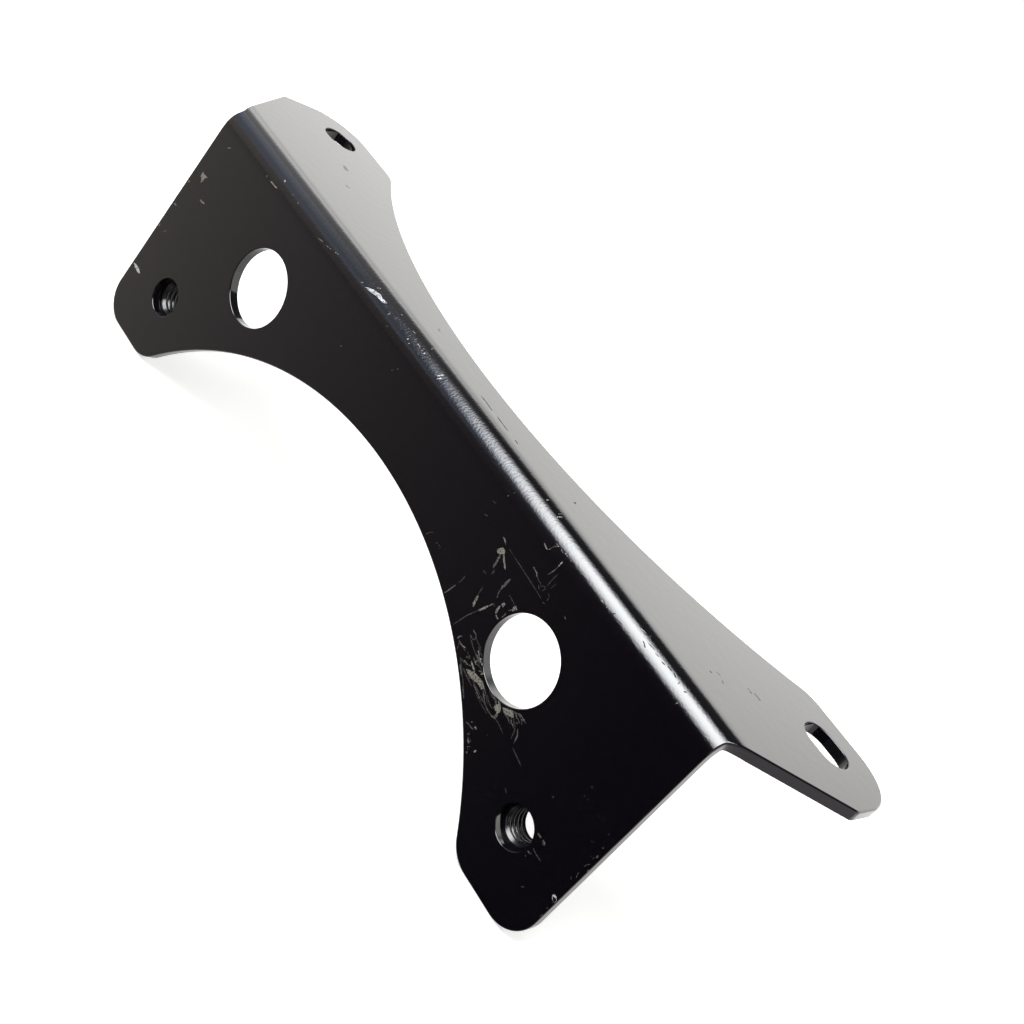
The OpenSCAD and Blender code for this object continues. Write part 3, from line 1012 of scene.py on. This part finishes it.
@dataclass
class WornSpots:
    """All worn spots of one tone, as thin flakes that lie in the paint."""

    tone: Tone
    finish: Material
    blank: Blank = Blank()
    proud: float = 0.014
    sunk: float = 0.05
    step: float = 0.22
    rim_share: float = 0.25
    edge_sunk: float = 0.004
    tip_share: float = 0.35
    taper: float = 3.0
    width_play: Flat = (0.72, 1.18)
    shift_play: float = 0.09
    rag: float = 0.05

    def build(self) -> Object:
        """Builds the flakes as one object."""
        shell = Shell()
        chance = random.Random(self.tone.value)
        for mark in MARKS[self.tone]:
            if mark.width:
                self.scratch(shell, mark, chance)
            else:
                self.rub(shell, mark, chance)
        return shell.mesh_object("wear_" + self.tone.value, self.finish, own_normals=False)

    def scratch(self, shell: Shell, mark: Mark, chance: random.Random) -> None:
        """Adds a stroke with tapered ends and a slightly broken edge."""
        line = self.followed(mark.points)
        last = len(line) - 1
        rings = []
        for index, point in enumerate(line):
            before = line[max(index - 1, 0)]
            ahead = line[min(index + 1, last)]
            length = math.dist(before, ahead)
            across = ((before[1] - ahead[1]) / length, (ahead[0] - before[0]) / length)
            part = index / last
            taper = min(1.0, self.tip_share + self.taper * min(part, 1 - part))
            half = mark.width / 2 * taper * chance.uniform(*self.width_play)
            shift = mark.width * chance.uniform(-self.shift_play, self.shift_play)
            edge = self.edge_sunk
            ring = []
            for reach, depth in ((-half, edge), (0.0, -self.proud), (half, edge), (0.0, self.sunk)):
                x = point[0] + across[0] * (reach + shift)
                run = point[1] + across[1] * (reach + shift)
                ring.append(shell.add(self.place(self.on_steel(x, run), depth)))
            rings.append(ring)
        for first, second in zip(rings, rings[1:]):
            shell.band(first, second)
        shell.faces.append(tuple(rings[0]))
        shell.faces.append(tuple(rings[-1]))

    def on_steel(self, x: float, run: float) -> Flat:
        """Moves a point that would hang over a large hole or past an end back onto the rim."""
        blank = self.blank
        least = blank.large_hole_r + self.rim_share * blank.hole_rim_r
        for centre in blank.large_centres:
            away = math.dist((x, run), centre)
            if away < least:
                return between(centre, (x, run), least / away)
        if run < 0:
            most = blank.half_width - self.rim_share * blank.edge_rim_r
            x = min(max(x, -most), most)
        return x, run

    def place(self, point: Flat, depth: float) -> Vector:
        """Puts a point of a flake onto the folded sheet, lower where a rim rounds away.

        Args:
            point: Place along the fold and run.
            depth: Distance below the painted face, or above it where negative.

        Returns:
            The point in the row frame, in millimetres.
        """
        blank = self.blank
        rims: list[Flat] = []
        for centre in blank.large_centres:
            rims.append((math.dist(point, centre) - blank.large_hole_r, blank.hole_rim_r))
        if point[1] < 0:
            rims.append((blank.half_width - abs(point[0]), blank.edge_rim_r))
        for inset, radius in rims:
            if inset < radius:
                depth += radius - math.sqrt(radius**2 - (radius - inset) ** 2)
        return blank.section.place(*point, depth)

    def followed(self, points: Sequence[Flat]) -> list[Flat]:
        """A smooth line through these points, in short steps."""
        line: list[Flat] = []
        count = len(points)
        for index in range(count - 1):
            around = [points[min(max(index + shift, 0), count - 1)] for shift in (-1, 0, 1, 2)]
            steps = max(2, round(math.dist(around[1], around[2]) / self.step))
            for step in range(steps):
                line.append(self.curve(around, step / steps))
        line.append(points[-1])
        return line

    @staticmethod
    def curve(around: Sequence[Flat], part: float) -> Flat:
        """A point on the curve between the second and the third of four points."""
        weights = (
            -0.5 * part + part**2 - 0.5 * part**3,
            1 - 2.5 * part**2 + 1.5 * part**3,
            0.5 * part + 2 * part**2 - 1.5 * part**3,
            -0.5 * part**2 + 0.5 * part**3,
        )
        x = sum(weight * point[0] for weight, point in zip(weights, around))
        run = sum(weight * point[1] for weight, point in zip(weights, around))
        return x, run

    def rub(self, shell: Shell, mark: Mark, chance: random.Random) -> None:
        """Adds a flake with this outline and a ragged rim."""
        outline: list[Flat] = []
        count = len(mark.points)
        for index, point in enumerate(mark.points):
            ahead = mark.points[(index + 1) % count]
            steps = max(1, round(math.dist(point, ahead) / self.step))
            for step in range(steps):
                x, run = between(point, ahead, step / steps)
                x += chance.uniform(-self.rag, self.rag)
                run += chance.uniform(-self.rag, self.rag)
                outline.append(self.on_steel(x, run))
        triangles = tessellate_polygon([[Vector((x, run, 0)) for x, run in outline]])
        layers = []
        for depth in (-self.proud, self.sunk):
            layers.append([shell.add(self.place(point, depth)) for point in outline])
        for triangle in triangles:
            shell.faces.extend(tuple(layer[index] for index in triangle) for layer in layers)
        shell.band(layers[0], layers[1])


# Finishes


class Graph:
    """The nodes of a material or of the world, with short words for adding and joining them."""

    def __init__(self, name: str, world: bool = False) -> None:
        """Makes an empty material of this name, or an empty world."""
        self.owner: Material | World = (bpy.data.worlds if world else bpy.data.materials).new(name)
        self.owner.use_nodes = True
        self.tree = self.owner.node_tree
        self.tree.nodes.clear()

    def node(self, kind: str, **settings: object) -> Node:
        """Adds a node.

        Args:
            kind: Blender's name for the node's type.
            **settings: Its own properties, or with a leading input_ its sockets' values.

        Returns:
            The node.
        """
        made = self.tree.nodes.new(kind)
        for key, value in settings.items():
            if key.startswith("input_"):
                self.socket(made, key[6:]).default_value = value
            else:
                setattr(made, key, value)
        return made

    @staticmethod
    def socket(node: Node, key: str) -> NodeSocket:
        """Finds an input by number or by its name with underscores for spaces."""
        if key.isdigit():
            return node.inputs[int(key)]
        return node.inputs[key.replace("_", " ")]

    def join(self, source: NodeSocket, target: NodeSocket) -> None:
        """Links an output to an input."""
        self.tree.links.new(source, target)

    def maths(
        self, operation: str, first: NodeSocket | float, second: NodeSocket | float = 0.0, clamp: bool = False
    ) -> NodeSocket:
        """Adds a maths node whose inputs are sockets or numbers, and gives its output."""
        made = self.node("ShaderNodeMath", operation=operation, use_clamp=clamp)
        for index, value in enumerate((first, second)):
            if isinstance(value, NodeSocket):
                self.join(value, made.inputs[index])
            else:
                made.inputs[index].default_value = value
        return made.outputs[0]

    def plus(self, first: NodeSocket, second: NodeSocket | float) -> NodeSocket:
        """The sum of two values."""
        return self.maths("ADD", first, second)

    def times(self, first: NodeSocket, second: NodeSocket | float) -> NodeSocket:
        """The product of two values."""
        return self.maths("MULTIPLY", first, second)

    def place(self) -> NodeSocket:
        """The object's own coordinates."""
        return self.node("ShaderNodeTexCoord").outputs["Object"]

    def split(self, place: NodeSocket) -> Sequence[NodeSocket]:
        """Takes coordinates apart into X, Y and Z."""
        axes = self.node("ShaderNodeSeparateXYZ")
        self.join(place, axes.inputs[0])
        return axes.outputs

    def bump(self, height: NodeSocket, distance: float, strength: float = 1.0) -> Node:
        """Adds a bump that follows this height."""
        made = self.node("ShaderNodeBump", input_Distance=distance, input_Strength=strength)
        self.join(height, made.inputs["Height"])
        return made

    def seen_rays(self) -> NodeSocket:
        """One for rays from the camera and for what shows in gloss or through glass, otherwise nought."""
        path = self.node("ShaderNodeLightPath")
        seen = self.maths("ADD", path.outputs["Is Camera Ray"], path.outputs["Is Glossy Ray"], True)
        return self.maths("ADD", seen, path.outputs["Is Transmission Ray"], True)

    def noise(self, place: NodeSocket, scale: float, detail: float = 2.0, rough: float = 0.5) -> NodeSocket:
        """Adds a noise texture over these coordinates and gives its value."""
        made = self.node("ShaderNodeTexNoise", input_Scale=scale, input_Detail=detail, input_Roughness=rough)
        self.join(place, made.inputs["Vector"])
        return made.outputs["Fac"]

    def spread(self, value: NodeSocket, low: float, high: float, to_low: float, to_high: float) -> NodeSocket:
        """Maps a range of a value softly onto another range and gives the result."""
        made = self.node("ShaderNodeMapRange", interpolation_type="SMOOTHSTEP")
        self.join(value, made.inputs["Value"])
        made.inputs["From Min"].default_value = low
        made.inputs["From Max"].default_value = high
        made.inputs["To Min"].default_value = to_low
        made.inputs["To Max"].default_value = to_high
        return made.outputs["Result"]

    def grow(self, value: NodeSocket, fade: Fade, full: float = 1.0) -> NodeSocket:
        """Grows from nought at the first of two places to full at the second, whichever way they lie."""
        return self.spread(value, fade[1], fade[0], full, 0.0)

    def plateau(self, along: NodeSocket, fade: Plateau) -> NodeSocket:
        """One between the middle two of four places, nought outside the outer two."""
        rise = self.spread(along, fade[0], fade[1], 0.0, 1.0)
        return self.times(rise, self.spread(along, fade[2], fade[3], 1.0, 0.0))

    def stretched(self, turn: Triple, scale: Triple) -> NodeSocket:
        """Object coordinates, turned and scaled, for grain that runs one way."""
        mapping = self.node("ShaderNodeMapping", input_Rotation=turn, input_Scale=scale)
        self.join(self.place(), mapping.inputs["Vector"])
        return mapping.outputs["Vector"]

    def blend(
        self, factor: NodeSocket, first: NodeSocket | Triple, second: NodeSocket | Triple
    ) -> NodeSocket:
        """Mixes two colours, each a socket or a tuple, and gives the mixed colour."""
        made = self.node("ShaderNodeMix", data_type="RGBA")
        self.join(factor, made.inputs[0])
        for index, value in ((6, first), (7, second)):
            if isinstance(value, NodeSocket):
                self.join(value, made.inputs[index])
            else:
                made.inputs[index].default_value = (*value, 1.0)
        return made.outputs[2]

    def finish(self, shader: NodeSocket) -> Material | World:
        """Joins the shader to the output and gives the finished material or world."""
        kind = "World" if isinstance(self.owner, World) else "Material"
        self.join(shader, self.node("ShaderNodeOutput" + kind).inputs["Surface"])
        return self.owner

    def glow(self, strength: NodeSocket, colour: NodeSocket | Triple) -> Material | World:
        """Finishes a material that gives off light of this strength and colour."""
        light = self.node("ShaderNodeEmission")
        self.join(strength, light.inputs["Strength"])
        if isinstance(colour, NodeSocket):
            self.join(colour, light.inputs["Color"])
        else:
            light.inputs["Color"].default_value = (*colour, 1.0)
        return self.finish(light.outputs[0])


@dataclass(frozen=True)
class GlossBlackPaint:
    """Gloss black paint: faint orange peel, coarser over the fold, fine dust and hairline wipe marks."""

    name: str = "gloss_black_paint"
    colour: Triple = (0.0032, 0.0027, 0.0042)
    dust: Triple = (0.16, 0.15, 0.14)
    ior: float = 1.5
    roughness: float = 0.055
    peel_scale: float = 420.0
    peel_height: float = 0.000013
    fold_scale: float = 2100.0
    fold_height: float = 0.000027
    fold_from: Fade = (0.0155, 0.019)
    fold_until: Fade = (0.0075, 0.004)
    dust_scale: float = 900.0
    dust_size: Fade = (0.1, 0.05)
    dust_cloud_scale: float = 60.0
    dust_clouds: Fade = (0.6, 0.72)
    dust_most: float = 0.5
    wipe_one: tuple[Triple, Triple] = ((0.3, 0.2, 0.6), (30.0, 1200.0, 1200.0))
    wipe_two: tuple[Triple, Triple] = ((0.1, -0.4, -0.5), (1400.0, 26.0, 1300.0))
    hairs: Fade = (0.68, 0.8)
    hair_roughness: float = 0.012
    cloud_scale: float = 45.0
    clouds: Fade = (0.35, 0.75)
    cloud_roughness: float = 0.035

    def make(self) -> Material:
        """Builds the paint's nodes."""
        graph = Graph(self.name)
        place = graph.place()
        paint = graph.node("ShaderNodeBsdfPrincipled", input_IOR=self.ior)
        specks = graph.node("ShaderNodeTexVoronoi", input_Scale=self.dust_scale)
        graph.join(place, specks.inputs["Vector"])
        speck = graph.grow(specks.outputs["Distance"], self.dust_size)
        dusty = graph.noise(place, self.dust_cloud_scale, detail=3.0)
        where = graph.spread(dusty, *self.dust_clouds, 0.0, self.dust_most)
        colour = graph.blend(graph.times(speck, where), self.colour, self.dust)
        graph.join(colour, paint.inputs["Base Color"])
        wipes = [graph.noise(graph.stretched(*wipe), 1.0) for wipe in (self.wipe_one, self.wipe_two)]
        hairs = graph.spread(graph.maths("MAXIMUM", *wipes), *self.hairs, 0.0, self.hair_roughness)
        cloudy = graph.noise(place, self.cloud_scale, detail=4.0)
        cloud = graph.spread(cloudy, *self.clouds, 0.0, self.cloud_roughness)
        graph.join(graph.plus(graph.plus(hairs, cloud), self.roughness), paint.inputs["Roughness"])
        peel = graph.bump(graph.noise(place, self.peel_scale, detail=1.5), self.peel_height)
        axes = graph.split(place)
        high = graph.spread(axes[2], *self.fold_from, 0.0, 1.0)
        near = graph.grow(axes[1], self.fold_until)
        coarse = graph.bump(graph.noise(place, self.fold_scale, rough=0.6), self.fold_height)
        graph.join(graph.times(high, near), coarse.inputs["Strength"])
        graph.join(peel.outputs["Normal"], coarse.inputs["Normal"])
        graph.join(coarse.outputs["Normal"], paint.inputs["Normal"])
        return graph.finish(paint.outputs["BSDF"])


@dataclass(frozen=True)
class RubbedPaint:
    """Paint rubbed dull by something hard: broken into streaks, with the gloss gone."""

    name: str
    colour: Triple
    roughness: float = 0.5
    gloss: float = 0.5
    ior: float = 1.45
    grain_scale: float = 3000.0
    grain: Fade = (0.43, 0.57)
    grain_rough: Fade = (0.3, 0.7)
    dark_share: float = 0.15
    least_rough_share: float = 0.7
    relief_height: float = 0.00003
    relief_strength: float = 0.6

    def make(self) -> Material:
        """Builds the rubbed paint's nodes."""
        graph = Graph(self.name)
        rubbed = graph.node(
            "ShaderNodeBsdfPrincipled", input_IOR=self.ior, input_Specular_IOR_Level=self.gloss
        )
        grain = graph.noise(graph.place(), self.grain_scale, detail=3.0, rough=0.6)
        shade = graph.spread(grain, *self.grain, 0.0, 1.0)
        dark = tuple(value * self.dark_share for value in self.colour)
        graph.join(graph.blend(shade, dark, self.colour), rubbed.inputs["Base Color"])
        least_rough = self.roughness * self.least_rough_share
        rough = graph.spread(grain, *self.grain_rough, least_rough, self.roughness)
        graph.join(rough, rubbed.inputs["Roughness"])
        relief = graph.bump(grain, self.relief_height, self.relief_strength)
        graph.join(relief.outputs["Normal"], rubbed.inputs["Normal"])
        return graph.finish(rubbed.outputs["BSDF"])


WORN_FINISHES: dict[Tone, RubbedPaint] = {
    Tone.DARK: RubbedPaint("dulled_paint", (0.02, 0.02, 0.022), roughness=0.75, gloss=0.2),
    Tone.SMUDGED: RubbedPaint("smudged_paint", (0.02, 0.02, 0.02), roughness=0.45, gloss=0.4),
    Tone.BARE: RubbedPaint("bare_steel", (0.62, 0.61, 0.62), roughness=0.38),
    Tone.PALE: RubbedPaint("pale_scuff", (0.25, 0.235, 0.2), roughness=0.6),
    Tone.MIDDLING: RubbedPaint("middling_scuff", (0.125, 0.116, 0.1), roughness=0.55),
    Tone.FAINT: RubbedPaint("faint_scuff", (0.058, 0.054, 0.05)),
}


@dataclass(frozen=True)
class StudioFloor:
    """White floor that keeps the shadow and shows pale to the camera and in what is glossy or clear, with
    painted light: its glow grows away from the part, where the lamps fall off.
    """

    name: str = "studio_floor"
    colour: Triple = (0.87, 0.86, 0.83)
    lift: float = 0.58
    # Glow far from the part: painted light where the lamps fall off
    far_painted_light: float = 1.0
    far_from: Fade = (0.16, 0.4)

    def make(self) -> Material:
        """Builds the floor's nodes."""
        graph = Graph(self.name)
        matt = graph.node("ShaderNodeBsdfDiffuse", input_Color=(*self.colour, 1.0))
        glow = graph.node("ShaderNodeEmission")
        # Painted light: the glow grows with distance from the part, making up for the lamp light that falls
        # off far away
        distance = graph.node("ShaderNodeVectorMath", operation="LENGTH")
        graph.join(graph.place(), distance.inputs[0])
        lift = graph.spread(distance.outputs["Value"], *self.far_from, self.lift, self.far_painted_light)
        graph.join(graph.times(graph.seen_rays(), lift), glow.inputs["Strength"])
        both = graph.node("ShaderNodeAddShader")
        graph.join(matt.outputs[0], both.inputs[0])
        graph.join(glow.outputs[0], both.inputs[1])
        return graph.finish(both.outputs[0])


@dataclass(frozen=True)
class CardGlow:
    """Brightness of a studio card, fading towards its edges."""

    name: str
    middle: float
    edge: float
    fade_x: Plateau = (-1.0, -0.99, 0.99, 1.0)
    fade_y: Plateau = (-1.0, -0.99, 0.99, 1.0)
    lean: float = 0.0
    tilt: float = 0.0
    side: float = 0.0
    side_fade: Fade = (-0.3, -1.3)
    side_shift: float = 0.0
    shift_fade: Fade = (-0.45, -0.9)
    band: float = 0.0
    band_fade_x: Fade = (-0.68, -0.85)
    band_fade_y: Plateau = (-0.42, -0.2, 0.1, 0.55)
    corner: float = 0.0
    corner_lean: float = 0.83
    corner_fade: Fade = (-1.78, -2.35)
    tint: Triple = (1.0, 1.0, 1.0)
    side_tint: Triple = (1.0, 1.0, 1.0)
    tint_fade: Fade = (-0.45, -0.66)
    tint_fade_y: Fade = (-0.35, 0.2)
    corner_tint: Triple = (1.0, 0.99, 0.96)

    def make(self) -> Material:
        """Builds the card's nodes: its middle, and the light beside it, in a band and in one corner."""
        graph = Graph(self.name)
        x, y, _ = graph.split(graph.place())
        across = graph.plateau(graph.plus(x, graph.times(y, self.lean)), self.fade_x)
        full = graph.times(across, graph.plateau(graph.plus(y, graph.times(x, self.tilt)), self.fade_y))
        strength = graph.plus(graph.times(full, self.middle - self.edge), self.edge)
        shifted = graph.plus(x, graph.grow(y, self.shift_fade, self.side_shift))
        strength = graph.plus(strength, graph.times(graph.grow(shifted, self.side_fade), self.side))
        banded = graph.grow(x, self.band_fade_x, self.band)
        strength = graph.plus(strength, graph.times(banded, graph.plateau(y, self.band_fade_y)))
        far = graph.grow(graph.plus(x, graph.times(y, self.corner_lean)), self.corner_fade)
        strength = graph.plus(strength, graph.times(far, self.corner))
        above = graph.spread(y, *self.tint_fade_y, 0.0, 1.0)
        beside = graph.times(graph.grow(x, self.tint_fade), above)
        colour = graph.blend(beside, self.tint, self.side_tint)
        return graph.glow(strength, graph.blend(far, colour, self.corner_tint))


@dataclass(frozen=True)
class FlagGlow:
    """Near-black cloth in front of the part, a little lighter towards its left side, like a dim room."""

    name: str = "flag_glow"
    fan_point: Flat = (0.165, 0.23)
    start: float = 0.33
    gain: float = 0.95
    power: float = 1.5
    least: float = 0.005
    tint: Triple = (1.0, 0.9, 0.86)

    def make(self) -> Material:
        """Builds the flag's nodes: the light fans out from one point on the table."""
        graph = Graph(self.name)
        x, y, _ = graph.split(graph.node("ShaderNodeNewGeometry").outputs["Position"])
        sideways = graph.maths("SUBTRACT", self.fan_point[0], x)
        forward = graph.maths("SUBTRACT", self.fan_point[1], y)
        lean = graph.maths("SUBTRACT", graph.maths("DIVIDE", sideways, forward), self.start)
        raised = graph.maths("POWER", graph.maths("MAXIMUM", lean, 0.0), self.power)
        return graph.glow(graph.plus(graph.times(raised, self.gain), self.least), self.tint)


# Camera and studio


@dataclass(frozen=True)
class PhotoCamera:
    """The camera as solved from the photograph. Lengths in metres."""

    place: Triple = (0.16458, -0.22956, 0.12583)
    ahead: Triple = (-0.4624, 0.8013, -0.3795)
    upward: Triple = (-0.7103, -0.0786, 0.6995)
    focal_px: float = 1499.57
    frame_px: float = 1024.0
    sensor_mm: float = 36.0
    nearest: float = 0.01
    farthest: float = 50.0

    def build(self) -> Object:
        """Makes the camera and gives it to the scene."""
        data = bpy.data.cameras.new("photo_camera")
        data.sensor_width = self.sensor_mm
        data.lens = self.focal_px / self.frame_px * self.sensor_mm
        data.clip_start = self.nearest
        data.clip_end = self.farthest
        back = -Vector(self.ahead).normalized()
        right = Vector(self.upward).cross(back).normalized()
        upward = back.cross(right)
        camera = into_scene("photo_camera", data)
        turn = Matrix((right, upward, back)).transposed().to_4x4()
        camera.matrix_world = Matrix.Translation(self.place) @ turn
        bpy.context.scene.camera = camera
        return camera


def studio_sheet(name: str, size: Flat, finish: Material) -> Object:
    """Makes a flat oblong of this size for the studio, not attached to the part."""
    half_x, half_y = size[0] / 2, size[1] / 2
    corners = [(-half_x, -half_y, 0), (half_x, -half_y, 0), (half_x, half_y, 0), (-half_x, half_y, 0)]
    mesh = bpy.data.meshes.new(name)
    mesh.from_pydata(corners, [], [(0, 1, 2, 3)])
    mesh.materials.append(finish)
    sheet = into_scene(name, mesh)
    return sheet


@dataclass(frozen=True)
class StudioCard:
    """A card that shows only in gloss, like the tents and flags round a small studio table."""

    name: str
    glow: CardGlow | FlagGlow
    centre: Triple
    size: Flat
    facing: Triple
    spin_deg: float = 0.0

    def build(self) -> Object:
        """Makes the card and keeps it out of every view but the gloss."""
        card = studio_sheet(self.name, self.size, self.glow.make())
        normal = Vector(self.facing).normalized()
        across = Vector((1, 0, 0))
        across = (across - across.dot(normal) * normal).normalized()
        turn = Matrix((across, normal.cross(across), normal)).transposed().to_4x4()
        spin = Matrix.Rotation(math.radians(self.spin_deg), 4, "Z")
        card.matrix_world = Matrix.Translation(self.centre) @ turn @ spin
        card.visible_camera = False
        card.visible_diffuse = False
        card.visible_transmission = False
        card.visible_shadow = False
        return card


@dataclass(frozen=True)
class SoftLamp:
    """A square or oblong soft lamp. Its own shape stays out of the gloss, which shows the cards."""

    name: str
    centre: Triple
    size: Flat
    watts: float
    tint: Triple = (1.0, 1.0, 1.0)
    aim: Triple = (0.0, 0.0, 0.0)

    def build(self) -> Object:
        """Makes the lamp."""
        data = bpy.data.lights.new(self.name, "AREA")
        data.shape = "RECTANGLE"
        data.size, data.size_y = self.size
        data.energy = self.watts
        data.color = self.tint
        lamp = into_scene(self.name, data)
        turn = (Vector(self.centre) - Vector(self.aim)).to_track_quat("Z", "Y")
        lamp.matrix_world = Matrix.Translation(self.centre) @ turn.to_matrix().to_4x4()
        lamp.visible_glossy = False
        return lamp


@dataclass(frozen=True)
class Studio:
    """White table, soft lamps above and behind, bright cards, and dark flags in front."""

    floor_z: float = -0.0371
    floor_size: Flat = (12.0, 12.0)
    fill: float = 0.35

    def build(self) -> None:
        """Builds the floor, the cards, the lamps and the surroundings."""
        self.floor()
        for card in self.cards():
            card.build()
        for lamp in self.lamps():
            lamp.build()
        self.surroundings()
        bpy.context.scene.view_settings.view_transform = "Standard"

    def floor(self) -> Object:
        """Makes the floor that the feet stand on."""
        floor = studio_sheet("floor", self.floor_size, StudioFloor().make())
        floor.location.z = self.floor_z
        return floor

    def cards(self) -> list[StudioCard]:
        """What the gloss mirrors: a tent overhead, a card behind, and flags in front and at the side."""
        warm: Triple = (1.0, 0.992, 0.965)
        rosy: Triple = (1.0, 0.93, 0.98)
        tent = CardGlow(
            "tent_glow", middle=23.5, edge=0.12, lean=0.09,
            fade_x=(-0.72, -0.36, 0.5, 0.8), fade_y=(-0.66, -0.17, -0.1, 1.15),
            side=1.2, side_fade=(-0.48, -1.1), side_shift=0.2, band=0.6, corner=2.1,
            tint=(0.97, 0.985, 1.0), side_tint=(0.75, 0.82, 1.0),
        )
        back = CardGlow(
            "back_glow", middle=2.96, edge=0.2, tilt=0.3,
            fade_x=(-4.0, -3.9, 0.1, 1.3), fade_y=(-1.7, -1.6, 0.15, 0.62),
            side=-0.65, side_fade=(0.5, -1.0), corner=1.9, corner_lean=0.0, corner_fade=(0.45, 0.9),
            tint=warm, side_tint=warm, corner_tint=warm,
        )
        shade = CardGlow("side_glow", middle=0.92, edge=0.92, tint=rosy, side_tint=rosy)
        flag = FlagGlow()
        room = FlagGlow("room_glow", gain=1.5, least=0.0095)
        return [
            StudioCard("overhead_tent", tent, (-0.05, -0.45, 1.0), (4.0, 3.2), (0, 0, -1), spin_deg=10.0),
            StudioCard("back_card", back, (-0.6, 1.25, 0.62), (4.0, 1.3), (0, -1, 0)),
            StudioCard("table_flag", flag, (-0.5, -0.9999, -0.03705), (6.0, 2.0), (0, 0, 1)),
            StudioCard("room_flag", room, (-0.5, -2.0, 0.7), (6.0, 2.2), (0, 1, 0)),
            StudioCard("side_flag", shade, (1.15, 0.0401, -0.03705), (2.0, 0.08), (0, 0, 1)),
        ]

    def lamps(self) -> list[SoftLamp]:
        """The lamps that light what isn't mirrored."""
        return [
            SoftLamp("overhead_lamp", (-0.15, -0.45, 1.0), (0.9, 0.9), watts=15.0, tint=(0.98, 0.99, 1.0)),
            SoftLamp("back_lamp", (-0.6, 1.2, 0.6), (1.6, 0.8), watts=9.0),
        ]

    def surroundings(self) -> None:
        """White to the camera and in gloss, a plain soft fill for everything else."""
        graph = Graph("surroundings", world=True)
        light = graph.node("ShaderNodeBackground", input_Color=(1.0, 1.0, 1.0, 1.0))
        level = graph.plus(graph.times(graph.seen_rays(), 1.0 - self.fill), self.fill)
        graph.join(level, light.inputs["Strength"])
        bpy.context.scene.world = graph.finish(light.outputs[0])


def main() -> None:
    """Builds the camera, the studio and every piece of the bracket."""
    logging.basicConfig(level=logging.INFO, format="%(name)s: %(message)s")
    PhotoCamera().build()
    Studio().build()
    paint = GlossBlackPaint().make()
    soft_paint = GlossBlackPaint("painted_thread", roughness=0.24).make()
    pieces = [FoldedBracket(paint).build()]
    for side in Side:
        pieces.append(WeldNut(side, soft_paint).build())
    for tone, finish in WORN_FINISHES.items():
        pieces.append(WornSpots(tone, finish.make()).build())
    for piece in pieces:
        LOG.info("%s: %d faces", piece.name, len(piece.data.polygons))


if __name__ == "__main__":
    main()
